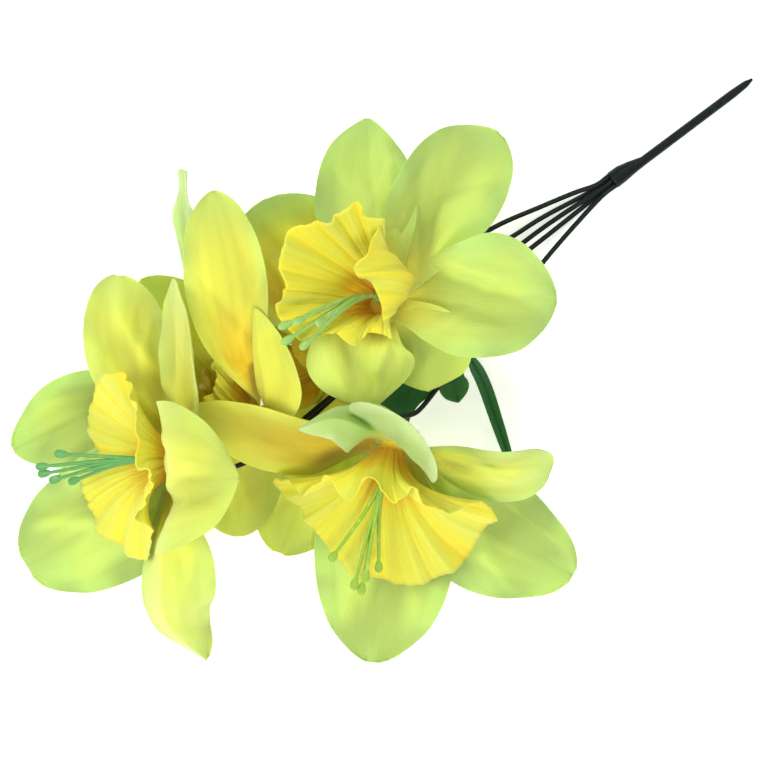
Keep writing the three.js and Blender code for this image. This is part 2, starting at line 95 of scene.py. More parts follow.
# %% Sky, lamps and floor
SKY_STRENGTH = 0.46
TABLE_GLOW = 0.56
LAMPS = {
    "lamp_left": {"place": (-0.86, 0.52, 1.2), "size": 0.7, "power": 10.0},
    "lamp_front": {"place": (-0.46, -0.78, 1.3), "size": 0.7, "power": 9.0},
    "lamp_back": {"place": (0.78, 0.54, 1.3), "size": 0.7, "power": 5.0},
}
sky = bpy.data.worlds.new("studio_sky")
sky.use_nodes = True
sky.node_tree.nodes["Background"].inputs["Color"].default_value = (1.0, 1.0, 1.0, 1.0)
sky.node_tree.nodes["Background"].inputs["Strength"].default_value = SKY_STRENGTH
bpy.context.scene.world = sky
bpy.context.scene.view_settings.view_transform = "Standard"
for name, lamp in LAMPS.items():
    data = bpy.data.lights.new(name, "AREA")
    data.shape = "DISK"
    data.size = lamp["size"]
    data.energy = lamp["power"]
    light = bpy.data.objects.new(name, data)
    light.location = lamp["place"]
    light.rotation_mode = "QUATERNION"
    light.rotation_quaternion = (-Vector(lamp["place"])).to_track_quat("-Z", "Y")
    light.visible_camera = False
    bpy.context.scene.collection.objects.link(light)


def feed(tree, node, inputs):
    """Gives each named input a plain value or the socket that feeds it."""
    for socket, value in inputs.items():
        if isinstance(value, bpy.types.NodeSocket):
            tree.links.new(value, node.inputs[socket])
        else:
            node.inputs[socket].default_value = value


def node_material(name):
    """A material with a bare Principled shader, its node tree and that shader."""
    made = bpy.data.materials.new(name)
    made.use_nodes = True
    return made, made.node_tree, made.node_tree.nodes["Principled BSDF"]


FLOOR_HALF = 3.0
FLOOR_DROP = -0.0002
floor_material, tree, shader = node_material("pale_table")
feed(tree, shader, {
    "Base Color": (0.93, 0.93, 0.93, 1.0), "Roughness": 0.9,
    "Emission Color": (1.0, 1.0, 1.0, 1.0), "Emission Strength": TABLE_GLOW,
})
floor_mesh = bpy.data.meshes.new("pale_table")
corners = [(-1, -1), (1, -1), (1, 1), (-1, 1)]
floor_places = [(x * FLOOR_HALF, y * FLOOR_HALF, FLOOR_DROP) for x, y in corners]
floor_mesh.from_pydata(floor_places, [], [(0, 1, 2, 3)])
floor_mesh.materials.append(floor_material)
floor = bpy.data.objects.new("pale_table", floor_mesh)
bpy.context.scene.collection.objects.link(floor)
print("lamps:", ", ".join(LAMPS))

# %% [markdown]
# These are the shapes that were chosen. A petal's spine starts in the bloom's disc and passes
# three places, the last one its tip. widths are its half-widths left and right of the spine, seen
# from root to tip from above. tilt lifts each half in degrees, across gives the direction of the
# width where it isn't the usual one, level and square to the spine, and cup raises the margins.
# shape says where it is widest, how slim its root is and how round its tip is. rim goes once round
# the trumpet's free edge, with its own swell as a fourth number where the wall needs one, and wire
# passes from the collar to the calyx.

# %% Where everything lies, in layout millimetres
BLOOMS = {
    "a": {
        "centre": [2, 27, 36],
        "facing": [-0.42, 0.26, 0.87],
        "petals": [
            {"spine": [[-1, 51, 34], [-3.5, 72.5, 28], [-4.5, 92.5, 24]],
             "widths": [21, 15.5], "shape": [0.56, 1, 0.8]},
            {"spine": [[13.5, 50.5, 38], [27, 69.5, 38], [42.5, 86, 36]],
             "widths": [18.5, 19], "shape": [0.66, 1, 0.62]},
            {"spine": [[23.5, 27, 42], [42.5, 28, 46], [61.5, 28.5, 46]],
             "widths": [23, 20.5], "shape": [0.6, 1, 0.62]},
            {"spine": [[9.5, 15.5, 39], [14.5, 6, 38], [17, -4, 32]],
             "widths": [20, 11], "shape": [0.6, 1, 0.7]},
            {"spine": [[-3, 14, 45], [-3.2, 2.8, 43], [-2.2, -10.8, 35]],
             "widths": [16, 22.5], "tilt": [-15, 0], "shape": [0.56, 2, 1.3]},
            {"spine": [[-11.5, 19.5, 34], [-20.5, 13, 34], [-29, 7, 34]],
             "widths": [13, 13]},
        ],
        "rim": [
            [-33, 49, 62], [-27, 52, 66], [-18.5, 54.5, 68], [-14.5, 57, 70], [-9, 60, 72], [-6, 56, 71],
            [2, 55.5, 68], [-3.5, 47, 69, 14], [-8.5, 39.5, 69, 22], [-8, 36, 67, 24], [-3, 33, 64, 20],
            [0, 27, 61, 14], [1, 20.5, 57, 10], [4.5, 14.5, 52], [0, 16, 53], [-5, 16, 54], [-8, 11.5, 53],
            [-12, 13.5, 54], [-16, 17, 55], [-22, 14, 55], [-28, 13.5, 55], [-32, 18.5, 56], [-36, 24.5, 57],
            [-35, 28.5, 58], [-32, 31, 59], [-34, 37, 60], [-34.5, 43.5, 61],
        ],
        "stamens": [[-31.5, 14, 61], [-32.5, 19, 62], [-25.5, 12.5, 60], [-27.5, 20.5, 64], [-20, 20, 66]],
        "wire": [[70, 67.3, 4], [57.4, 62, 6], [41, 54.7, 9], [21.5, 42, 17]],
    },
    "b": {
        "centre": [-70.5, -29, 34],
        "facing": [-0.94, 0.1, 0.34],
        "petals": [
            {"spine": [[-80, -7, 25], [-89.5, 14, 20], [-92, 36.8, 26]],
             "widths": [19, 16.5], "tilt": [-25, 0]},
            {"spine": [[-68, -7, 46], [-70.5, 14, 48], [-72.5, 35, 44]],
             "widths": [18, 18], "across": [0.36, 0.05, 0.93], "shape": [0.5, 1, 0.62]},
            {"spine": [[-73.5, -32.5, 58], [-67, -33.5, 71], [-48.5, -33.5, 66]],
             "widths": [27, 27], "across": [0, -1, 0], "shape": [0.5, 0.8, 0.85]},
            {"spine": [[-75.5, -61.5, 38], [-75.5, -84, 26], [-62, -100.5, 8]],
             "widths": [18.8, 22], "tilt": [-5, -70], "shape": [0.5, 0.6, 0.7]},
            {"spine": [[-87.5, -43.5, 9], [-106, -54.5, 0], [-127, -67, 0]],
             "widths": [24, 24], "cup": 0, "shape": [0.54, 0.75, 0.42]},
            {"spine": [[-88.5, -17.5, 9], [-108.5, -15.5, 0], [-132, -25, 0]],
             "widths": [19, 19.5], "cup": 0, "shape": [0.5, 1, 0.65]},
        ],
        "rim": [
            [-92.5, 3, 36], [-87, -3, 44, 6], [-83.5, -14, 56, 8], [-85, -26, 60, 9], [-79.5, -31.5, 59, 9],
            [-80, -38.5, 57, 9], [-83, -47, 52, 8], [-81, -54, 40, 6], [-81.5, -63.5, 26], [-91, -61.5, 15],
            [-98.5, -55, 10], [-104.5, -46, 8], [-106.5, -37.5, 7], [-104.5, -27, 7], [-103.5, -16, 9],
            [-102.5, -7, 16], [-99.5, 0, 27],
        ],
        "stamens": [
            [-112, -26, 32], [-119, -30.5, 28], [-118.5, -33, 26], [-114.5, -35, 27], [-108, -35.5, 26],
        ],
        "wire": [
            [57.4, 49.8, 5.5], [18, 19.5, 15], [-12.5, -2, 22], [-32, -18, 22.3], [-43.5, -27, 23],
            [-53, -31, 25.5],
        ],
    },
    "c": {
        "centre": [4, -24.5, 34],
        "facing": [-0.25, -0.87, 0.43],
        "petals": [
            {"spine": [[-23.5, -23.5, 42], [-45.5, -18, 44], [-65.5, -10.5, 42]],
             "widths": [20, 12.5], "tilt": [-55, 40], "shape": [0.58, 0.6, 0.55]},
            {"spine": [[-6, -16.5, 54], [-16, -13.5, 60], [-28, -17, 57]],
             "widths": [11, 13], "tilt": [-20, -70], "shape": [0.36, 0.6, 0.8]},
            {"spine": [[5, -21.5, 52], [8, -19, 64], [11.5, -16.5, 71.5]],
             "widths": [20, 20], "across": [0.75, -0.66, 0]},
            {"spine": [[24.5, -28.5, 40], [42, -33, 38], [60, -32, 34]],
             "widths": [15, 20], "tilt": [55, -60], "shape": [0.78, 1.4, 0.3]},
            {"spine": [[26, -43, 9], [45, -55.5, 0], [69.5, -70, 0]],
             "widths": [19, 24], "cup": 0},
            {"spine": [[2, -52.5, 8], [0.5, -74, 0], [-3, -101.5, 0]],
             "widths": [25.5, 25.5], "cup": 0, "shape": [0.55, 1, 0.6]},
        ],
        "rim": [
            [-38, -38, 26], [-33.5, -33.5, 36], [-27, -40, 44, 7], [-18.5, -34.5, 50, 8], [-12, -41, 54, 8],
            [-3, -35, 58, 8], [5, -42.5, 58, 7], [11, -36.5, 57], [18.5, -46.5, 52], [27, -44.5, 46],
            [35, -43, 38], [41.5, -50, 28], [35.5, -52.5, 18], [32, -64.5, 11], [23, -69, 9], [13, -73, 8],
            [1, -72.5, 8], [-10, -68.5, 8], [-17, -62, 10], [-25.5, -51.5, 15], [-29, -43.5, 20],
        ],
        "stamens": [[-9, -72, 22], [-6.5, -74, 20], [-0.5, -66, 22], [-16.5, -62.5, 20], [-5, -69, 26]],
        "wire": [
            [70, 55.6, 4.6], [59.1, 43, 6.5], [43.5, 22.5, 12], [29.2, 6.1, 17], [21.3, -1.8, 20],
            [12.8, -11.5, 24.5],
        ],
    },
    "d": {
        "centre": [-47.5, -12, 28],
        "facing": [-0.72, 0.5, 0.48],
        "petals": [
            {"spine": [[-49, 12, 48.5], [-53, 40, 47], [-59, 66, 42]],
             "widths": [16.5, 14], "tilt": [-5, 15], "shape": [0.66, 2, 0.68]},
            {"spine": [[-39.5, -11, 43], [-41.5, 8, 53], [-43.5, 25, 51]],
             "widths": [6, 12.5], "tilt": [-60, 0], "shape": [0.45, 1, 0.85]},
            {"spine": [[-60, 23, 25], [-67.5, 49, 28], [-69, 74, 32]],
             "widths": [12, 13], "across": [0.24, 0, 0.97], "shape": [0.6, 1, 0.35]},
            {"spine": [[-60, 7, 6], [-74, 21.5, 5], [-87, 34.5, 3]],
             "widths": [17, 17]},
            {"spine": [[-50.5, -27, 12], [-51, -41, 8], [-50, -56, 6]],
             "widths": [16, 16]},
            {"spine": [[-59, -15, 9], [-68.5, -16, 6], [-77, -18, 5]],
             "widths": [12, 12]},
        ],
        "rim": [
            [-57, 0.5, 44], [-59, -4.5, 42], [-63, -9, 37], [-66, -9.5, 29], [-69, -7, 22], [-71, 0, 19],
            [-70, 9, 20], [-67, 13, 27], [-64.5, 13.5, 34], [-60.5, 11.5, 40], [-58, 6.5, 43],
        ],
        "stamens": [[-60.5, -1, 36], [-62, -2.5, 32], [-61, 1.5, 33], [-60, -4, 30]],
        "wire": [[57.4, 53.8, 4.6], [18, 22.5, 12.4], [-10.5, -1, 19.6], [-31.5, -18, 19.7]],
    },
    "e": {
        "centre": [-19, 7, 19],
        "facing": [-0.7, -0.25, -0.67],
        "petals": [
            {"spine": [[-26.5, 28.5, 20], [-32.5, 47, 19], [-39, 65, 16]],
             "widths": [24, 24], "shape": [0.58, 1.4, 0.55]},
            {"spine": [[-28, 3, 23], [-37.5, -0.5, 22], [-45, -2.5, 20]],
             "widths": [14, 8], "tilt": [-25, -10], "shape": [0.4, 1, 0.6]},
            {"spine": [[-22, -17, 6], [-28, -42, 2], [-36, -62, 0.5]],
             "widths": [20, 21], "cup": 0, "shape": [0.5, 1.2, 0.55]},
            {"spine": [[-29, 22.5, 10], [-37, 31.5, 7], [-45, 40, 5]],
             "widths": [13, 13]},
            {"spine": [[-10.5, 25, 13], [-3, 42, 12], [4.5, 59, 9]],
             "widths": [14, 14]},
            {"spine": [[-10, 3, 8], [-0.5, 6.5, 4], [9, 12.5, 3]],
             "widths": [14, 14], "cup": 0},
        ],
        "rim": [
            [-38, 10.5, 9], [-42, 6.5, 12], [-43.5, 0.5, 12], [-42, -5, 10], [-38, -8, 6], [-33.5, -6.5, 2.5],
            [-31, 0, 1.5], [-32.5, 7, 2.5], [-35, 10.5, 5],
        ],
        "stamens": [[-37, 2, 5], [-38, 0, 7], [-36, 4, 6], [-37, -3, 6]],
        "wire": [[57.4, 57.8, 4.5], [48.4, 52, 6], [17, 32.5, 14], [-1, 17, 25]],
    },
}

LEAVES = {
    "1": {"spine": [[32, 8.3, 14.9], [37, -1, 12], [41, -12.5, 9], [47, -30, 4]],
          "widths": [2.5, 2.5], "cup": 0.02, "shape": [0.2, 0.5, 0.3]},
    "2": {"spine": [[28.8, 6.4, 15.4], [26, 2, 14.5], [26.5, -3, 13], [28, -8, 10.5]],
          "widths": [5.5, 5.5], "cup": 0.02, "shape": [0.6, 1, 0.9]},
    "3": {"spine": [[20.8, -0.7, 18.5], [11, -3, 19.5], [5, -11, 20], [6.5, -24, 16]],
          "widths": [6.5, 6.5]},
}

print("blooms:", ", ".join(BLOOMS), "- leaves:", ", ".join(LEAVES))

# %% [markdown]
# Every bent line of the bunch is a smooth curve through a few places: the middle of a petal, the rim
# of a trumpet, a wire. A centripetal Catmull-Rom curve doesn't swing out or loop where its places
# are close together, so it suits places that were chosen one by one.

# %% Smooth curves through places
CURVE_STEPS = 400
SLOPE_REACH = 70


def curve_point(places, share, closed=False):
    """A point of the centripetal Catmull-Rom curve through places, at a share of its stretches."""
    places = np.asarray(places, dtype=float)
    count = len(places)
    position = (count - (0 if closed else 1)) * share
    whole = int(math.floor(position))
    part = position - whole
    if not closed and whole >= count - 1:
        whole, part = count - 2, 1.0
    if closed:
        p0, p1, p2, p3 = (places[(whole + k) % count] for k in (-1, 0, 1, 2))
    else:
        p1, p2 = places[whole], places[whole + 1]
        p0 = places[whole - 1] if whole > 0 else 2 * p1 - p2
        p3 = places[whole + 2] if whole + 2 < count else 2 * p2 - p1
    d0, d1, d2 = (math.sqrt(np.linalg.norm(b - a)) for a, b in ((p0, p1), (p1, p2), (p2, p3)))
    start = ((p1 - p0) / d0 - (p2 - p0) / (d0 + d1) + (p2 - p1) / d1) * d1
    end = ((p2 - p1) / d1 - (p3 - p1) / (d1 + d2) + (p3 - p2) / d2) * d1
    cubic = 2 * p1 - 2 * p2 + start + end
    square = -3 * p1 + 3 * p2 - 2 * start - end
    return ((cubic * part + square) * part + start) * part + p1


def even_points(places, shares):
    """Points and unit tangents at shares of the curve's length."""
    fine = np.array([curve_point(places, k / CURVE_STEPS) for k in range(CURVE_STEPS + 1)])
    steps = np.linalg.norm(np.diff(fine, axis=0), axis=1)
    travelled = np.concatenate([[0.0], np.cumsum(steps)])
    wanted = np.asarray(shares) * travelled[-1]
    points = np.stack([np.interp(wanted, travelled, fine[:, k]) for k in range(3)], axis=1)
    longer = np.pad(fine, ((SLOPE_REACH, SLOPE_REACH), (0, 0)), mode="reflect", reflect_type="odd")
    slopes = np.gradient(longer, axis=0)
    window = np.hanning(2 * SLOPE_REACH + 3)[1:-1]
    slopes = np.stack([np.convolve(slopes[:, k], window, mode="valid") for k in range(3)], axis=1)
    tangents = np.stack([np.interp(wanted, travelled, slopes[:, k]) for k in range(3)], axis=1)
    return points, tangents / np.linalg.norm(tangents, axis=1, keepdims=True), travelled[-1]


def unit(vector):
    return np.asarray(vector, dtype=float) / np.linalg.norm(vector)


def middle_and_facing(bloom):
    """A bloom's middle in layout millimetres and the unit vector that it faces along."""
    return np.array(bloom["centre"], dtype=float), unit(bloom["facing"])


def smooth_step(value, low, high):
    share = np.clip((value - low) / (high - low), 0.0, 1.0)
    return share * share * (3 - 2 * share)


print("half way along the main petal:", curve_point(BLOOMS["a"]["petals"][0]["spine"], 0.5).round(1))

# %% [markdown]
# A grid of points becomes a mesh here. Silk also gets three maps. The one named cloth holds the
# distance along and across the piece in metres, so a weave keeps its real pitch however the piece is
# bent. The value named warmth says how golden the colour is at each point, and the one named raised
# says whether the point stands on a ridge or in a hollow; the silk turns it into painted shade in the
# hollows.

# %% From a grid of points to a piece
def grid_faces(rows, columns, ring, first=0):
    """Faces between the rows and columns of a grid; a ring's last column meets its first."""
    faces = []
    for i in range(rows - 1):
        here, ahead = first + i * columns, first + (i + 1) * columns
        for j in range(columns if ring else columns - 1):
            after = (j + 1) % columns
            faces.append((here + j, here + after, ahead + after, ahead + j))
    return faces


def mesh_piece(name, points, faces, material):
    """A smooth mesh object of one material, in the scene."""
    mesh = bpy.data.meshes.new(name)
    mesh.from_pydata(points, [], faces)
    mesh.shade_smooth()
    mesh.materials.append(material)
    piece = bpy.data.objects.new(name, mesh)
    bpy.context.scene.collection.objects.link(piece)
    return piece


def grid_piece(name, grid, cloth_map, warmth, material, thickness=None, ring=False, raised=None):
    """A piece from rows and columns of layout points, with its maps."""
    points = to_frame(grid.reshape(-1, 3))
    piece = mesh_piece(name, points.tolist(), grid_faces(*grid.shape[:2], ring), material)
    mesh = piece.data
    layer = mesh.uv_layers.new(name="cloth")
    flat = cloth_map.reshape(-1, 2)
    order = np.empty(len(mesh.loops), dtype=np.int64)
    mesh.loops.foreach_get("vertex_index", order)
    layer.data.foreach_set("uv", flat[order].astype(np.float32).ravel())
    raised = np.zeros(len(points)) if raised is None else raised
    for label, shares in (("warmth", warmth), ("raised", raised)):
        value = mesh.attributes.new(label, "FLOAT", "POINT")
        value.data.foreach_set("value", np.asarray(shares, dtype=np.float32).ravel())
    if thickness:
        solid = piece.modifiers.new("cloth_thickness", "SOLIDIFY")
        solid.thickness = thickness * MM
        solid.offset = 0.0
    return piece


def settle(piece, slot, *nodes):
    """Rides on the bunch and stands for CAD nodes, which it hides; slot is not used."""
    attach(piece, "root")
    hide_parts(*nodes)


print("faces between 3 rows of 4 points:", len(grid_faces(3, 4, False)))

# %% [markdown]
# Silk for flowers is a plain weave, and its ribs show as fine lines in the sharpest parts of the
# petals. One node group draws it from the cloth map: two sets of threads that pass over and under
# each other. The same group serves petals, trumpets and leaves with its own pitch for each.

# %% Woven silk as a node group
def group_with(name, inputs, outputs):
    group = bpy.data.node_groups.new(name, "ShaderNodeTree")
    for socket, kind, value in inputs:
        made = group.interface.new_socket(name=socket, in_out="INPUT", socket_type=kind)
        if value is not None:
            made.default_value = value
    for socket, kind in outputs:
        group.interface.new_socket(name=socket, in_out="OUTPUT", socket_type=kind)
    entry = group.nodes.new("NodeGroupInput")
    leave = group.nodes.new("NodeGroupOutput")
    return group, entry, leave


def math_node(tree, operation, first, second=None, clamp=False):
    """A Math node whose inputs are sockets or plain numbers; returns its output."""
    node = tree.nodes.new("ShaderNodeMath")
    node.operation = operation
    node.use_clamp = clamp
    for place, value in enumerate((first, second)):
        if isinstance(value, (int, float)):
            node.inputs[place].default_value = value
        elif value is not None:
            tree.links.new(value, node.inputs[place])
    return node.outputs[0]


def add_node(tree, kind, inputs, **settings):
    """A shader node with its settings and its inputs."""
    node = tree.nodes.new("ShaderNode" + kind)
    for setting, value in settings.items():
        setattr(node, setting, value)
    feed(tree, node, inputs)
    return node


weave, entry, leave = group_with(
    "woven_silk",
    [("Cloth", "NodeSocketVector", None), ("Pitch", "NodeSocketFloat", 0.0007)],
    [("Height", "NodeSocketFloat"), ("Thread", "NodeSocketFloat")],
)
parts = add_node(weave, "SeparateXYZ", {"Vector": entry.outputs["Cloth"]})
turns = math_node(weave, "DIVIDE", 2 * math.pi, entry.outputs["Pitch"])
warp = math_node(weave, "SINE", math_node(weave, "MULTIPLY", parts.outputs["X"], turns))
weft = math_node(weave, "SINE", math_node(weave, "MULTIPLY", parts.outputs["Y"], turns))
crossing = math_node(weave, "MULTIPLY", warp, weft)
ribs = math_node(weave, "MULTIPLY", warp, 0.7)
height = math_node(weave, "ADD", ribs, math_node(weave, "MULTIPLY", crossing, 0.3))
thread = math_node(weave, "ADD", math_node(weave, "MULTIPLY", height, 0.5), 0.5)
feed(weave, leave, {"Height": height, "Thread": thread})
print("group:", weave.name)

# %% [markdown]
# The dye runs from a cool green at the margins through lemon to gold at the root. The warmth value
# of each point picks its colour from a ramp, after a little cloudy noise, because airbrushed dye is
# never quite even.

# %% Airbrushed dye as a node group
dye, entry, leave = group_with(
    "airbrushed_dye",
    [
        ("Warmth", "NodeSocketFloat", 0.3),
        ("Cloth", "NodeSocketVector", None),
        ("Uneven", "NodeSocketFloat", 0.12),
    ],
    [("Level", "NodeSocketFloat")],
)
cloud = add_node(dye, "TexNoise", {"Scale": 45.0, "Detail": 3.0, "Vector": entry.outputs["Cloth"]})
swing = math_node(dye, "SUBTRACT", cloud.outputs["Fac"], 0.5)
moved = math_node(dye, "MULTIPLY", swing, entry.outputs["Uneven"])
level = math_node(dye, "ADD", entry.outputs["Warmth"], moved, clamp=True)
feed(dye, leave, {"Level": level})
print("group:", dye.name)


# %% [markdown]
# Petals, trumpets and leaves share one recipe: dye ramp, weave in the bump, painted shade in the
# hollows of creases and pleats with a little painted light on their ridges, and a soft sheen from
# the loose fibres. The light that passes through thin silk is imitated with subsurface scattering,
# which keeps folds from going grey.

# %% Silk material
def linear(red, green, blue):
    """An 8-bit picture colour as the linear values that a shader takes."""
    def one(value):
        value /= 255
        return value / 12.92 if value <= 0.04045 else ((value + 0.055) / 1.055) ** 2.4
    return (one(red), one(green), one(blue), 1.0)


def silk(name, stops, pitch, weave_depth, uneven, roughness, scatter, hollow_shade_depth):
    made, tree, shader = node_material(name)
    cloth = add_node(tree, "UVMap", {}, uv_map="cloth").outputs["UV"]
    warmth = add_node(tree, "Attribute", {}, attribute_name="warmth").outputs["Fac"]
    raised = add_node(tree, "Attribute", {}, attribute_name="raised").outputs["Fac"]
    dyed = add_node(tree, "Group", {"Uneven": uneven, "Cloth": cloth, "Warmth": warmth}, node_tree=dye)
    ramp = add_node(tree, "ValToRGB", {"Fac": dyed.outputs["Level"]})
    ramp.color_ramp.interpolation = "EASE"
    while len(ramp.color_ramp.elements) < len(stops):
        ramp.color_ramp.elements.new(0.5)
    for element, (place, colour) in zip(ramp.color_ramp.elements, stops):
        element.position = place
        element.color = linear(*colour)
    threads = add_node(tree, "Group", {"Pitch": pitch, "Cloth": cloth}, node_tree=weave)
    shade = {"Value": threads.outputs["Thread"], "To Min": 0.9, "To Max": 1.0}
    # Painted shade and light: the raised map darkens the hollows and lightens the ridges a little.
    hollow_shade_range = {"Value": raised, "From Min": -1.0, "To Min": 1 - hollow_shade_depth, "To Max": 1 + hollow_shade_depth / 3}
    shaded = add_node(tree, "MapRange", shade).outputs["Result"]
    hollow_shade_factor = add_node(tree, "MapRange", hollow_shade_range).outputs["Result"]
    layers = {"Factor": 1.0, "A": ramp.outputs["Color"], "B": math_node(tree, "MULTIPLY", shaded, hollow_shade_factor)}
    lighter = add_node(tree, "Mix", layers, data_type="RGBA", blend_type="MULTIPLY")
    height = threads.outputs["Height"]
    bump = add_node(tree, "Bump", {"Strength": 0.35, "Distance": weave_depth, "Height": height})
    feed(tree, shader, {
        "Base Color": lighter.outputs["Result"], "Normal": bump.outputs["Normal"], "Roughness": roughness,
        "Sheen Weight": 0.15, "Sheen Roughness": 0.5, "Subsurface Weight": scatter,
        "Subsurface Radius": (0.0008, 0.0007, 0.0003), "Subsurface Scale": 1.0,
    })
    return made


PETAL_DYE = [
    (0.0, (208, 232, 156)), (0.14, (188, 219, 118)), (0.32, (208, 227, 106)), (0.55, (234, 234, 82)),
    (0.78, (234, 200, 30)), (1.0, (220, 156, 10)),
]
TRUMPET_DYE = [(0.0, (238, 240, 84)), (0.3, (238, 228, 54)), (0.6, (238, 204, 26)), (1.0, (228, 164, 8))]
# The last number of each silk sets how dark its painted shade in the hollows is.
petal_silk = silk("petal_silk", PETAL_DYE, 0.0008, 0.00008, 0.14, 0.75, 0.6, 0.19)
trumpet_silk = silk("trumpet_silk", TRUMPET_DYE, 0.0007, 0.00006, 0.12, 0.7, 0.55, 0.14)
LEAF_DYE = [(0.0, (16, 72, 30)), (0.5, (22, 104, 46)), (1.0, (70, 150, 84))]
leaf_silk = silk("leaf_ribbon", LEAF_DYE, 0.0006, 0.00006, 0.35, 0.55, 0.0, 0.15)
print("silks:", petal_silk.name, trumpet_silk.name, leaf_silk.name)

# %% [markdown]
# A petal is die-cut from silk and pressed between hot moulds, which leave a midrib and a few veins,
# and its margin waves a little as it cools. It starts as a flat outline round a bent middle line.
# Then each half leans, the margins rise, and veins, creases, waves and soft dents are added on top.
# All of this fades towards the root, where the petal lies in its bloom's disc. Where it lies on the
# table it is raised a little, so that fewer of its folds are pressed flat. Near the margins the
# surface is averaged from row to row, because a sharply bent spine leaves notches there.

# %% The petal's form
CLOTH = 0.45
SEAT = 0.35
PETAL_ROOT = 2.5
PETAL_SEAT = 7.5
ROOT_WIDTH = 0.26
TIP_WIDTH = 0.02
LYING_RISE = 2.2
LYING_RELIEF = 0.6
PRESSED_FLAT = 0.5
PETAL_SHAPE = (0.58, 1.0, 0.55)
FULLY_RAISED = 1.1
LYING_BELOW = (1.0, 8.0)
MARGIN_REACH = 3
MARGIN_PASSES = 3
LEAVES_DISC = (0.1, 0.4)
PETAL_ROWS = np.linspace(0.0, 1.0, 61) ** 0.95
PETAL_COLUMNS = np.sin(np.linspace(-0.5, 0.5, 45) * math.pi)


def outline_share(u, shoulder, slimness, roundness):
    """Share of the full half-width at each share u of the length."""
    if u < shoulder:
        return ROOT_WIDTH + (1 - ROOT_WIDTH) * math.sin(math.pi / 2 * u / shoulder) ** slimness
    return (1 - (1 - TIP_WIDTH) * ((u - shoulder) / (1 - shoulder)) ** 2) ** roundness


def blade_grid(places, blade, rows, columns, facing=None, relief=None, edge=None):
    """Rows from root to tip, columns from the left margin to the right one, cloth map and raised map."""
    middles, alongs, length = even_points(places, rows)
    widths, tilt = blade["widths"], blade.get("tilt", (0, 0))
    cup, shape = blade.get("cup", 0.005), blade.get("shape", PETAL_SHAPE)
    grid = np.zeros((len(rows), len(columns), 3))
    cloth_map = np.zeros((len(rows), len(columns), 2))
    raised = np.zeros((len(rows), len(columns)))
    for i, u in enumerate(rows):
        along = alongs[i]
        side = np.array(blade["across"], dtype=float) if "across" in blade else np.cross(along, (0, 0, 1))
        side = unit(side - along * side.dot(along))
        free = smooth_step(u, *LEAVES_DISC) if facing is not None else 1.0
        if facing is not None:
            seated = unit(np.cross(along, facing))
            side = unit(seated * np.sign(seated.dot(side)) * (1 - free) + side * free)
        lift = np.cross(side, along)
        share = outline_share(u, *shape)
        for j, v in enumerate(columns):
            half = 1 if v > 0 else 0
            reach = abs(v) * widths[half] * share * (edge(u, half) if edge else 1.0)
            lean = free * math.radians(tilt[half])
            rise = cup * reach * reach
            if relief:
                low = 1 - smooth_step(middles[i][2], *LYING_BELOW) if facing is not None else 0.0
                pressed = free * relief(u, v, length * u, reach * np.sign(v)) * (1 + LYING_RELIEF * low)
                rise += pressed + free * low * LYING_RISE
                raised[i, j] = pressed / FULLY_RAISED
            outward = side * (np.sign(v) * reach * math.cos(lean))
            grid[i, j] = middles[i] + outward + lift * (reach * math.sin(lean) + rise)
            cloth_map[i, j] = (reach * np.sign(v) * MM, length * u * MM)
    calm = grid
    width = 2 * MARGIN_REACH + 1
    for _ in range(MARGIN_PASSES):
        longer = np.pad(calm, ((MARGIN_REACH, MARGIN_REACH), (0, 0), (0, 0)), "edge")
        calm = sum(longer[k:k + len(rows)] for k in range(width)) / width
    between = smooth_step(rows, 0.1, 0.25) * (1 - smooth_step(rows, 0.7, 0.88))
    share = np.outer(between, smooth_step(np.abs(columns), 0.4, 0.9))
    grid = grid + (calm - grid) * share[:, :, None]
    above = grid[:, :, 2] - SEAT
    grid[:, :, 2] = SEAT + (above + np.sqrt(above ** 2 + PRESSED_FLAT)) / 2
    return grid, cloth_map, raised


CREASE_ROUND = 1.6
CREASE_DROP = 1.26
CREASE_MIDDLE = 35
VEIN_NARROW = 14
RIB_NARROW = 16


def pressed_relief(seed, amount, wave=0.9, vein=0.35, dent=1.5, crease=1.7):
    """Veins, a waved margin, soft dents and sharp creases, in millimetres of rise."""
    draw = np.random.default_rng(seed)
    phases = draw.uniform(0, 2 * math.pi, 8)
    lengths = draw.uniform(16, 26, 2)
    veins = np.linspace(-0.72, 0.72, 5) + draw.uniform(-0.07, 0.07, 5)
    hand = draw.choice((-1.0, 1.0))
    creases = []
    for _ in range(5):
        offset, slope = draw.uniform(-11, 11), draw.uniform(-0.6, 0.6)
        height, width = draw.uniform(0.8, 1.4) * draw.choice((-1, 1)), draw.uniform(2.5, 5)
        creases.append((offset, slope, height, width))
    for _ in range(3):
        height = draw.uniform(0.35, 0.6) * draw.choice((-1, 1))
        creases.append((draw.uniform(-9, 9), draw.uniform(-0.8, 0.8), height, draw.uniform(1.2, 1.8)))

    def rise(u, v, along, across):
        half = 0 if v < 0 else 1
        margin = abs(v) ** 3 * wave * math.sin(2 * math.pi * along / lengths[half] + phases[half])
        spread = v * (1 + 0.25 * (1 - u))
        lines = -sum(math.exp(-(((spread - place) * VEIN_NARROW) ** 2)) for place in veins)
        lines = lines * vein * math.sin(math.pi * min(1, u * 1.1)) ** 0.5
        rib = -1.2 * vein * math.exp(-((v * RIB_NARROW) ** 2)) * (1 - 0.6 * u)
        soft = dent * 0.5 * (
            math.sin(along / 11 + across / 17 * hand + phases[2])
            + 0.6 * math.sin(across / 7 + along / 31 + phases[3])
        ) * min(1, abs(v) * 1.6)
        sharp = 0.0
        for offset, slope, height, width in creases:
            aside = across - offset - (along - CREASE_MIDDLE) * slope
            distance = math.sqrt(aside ** 2 + CREASE_ROUND) - CREASE_DROP
            sharp += height * crease * math.exp(-distance / width)
        sharp = sharp * min(1, 2.5 * (1 - u)) * (1 - 0.6 * abs(v) ** 4)
        return amount * (margin + lines + rib + soft + sharp)

    return rise


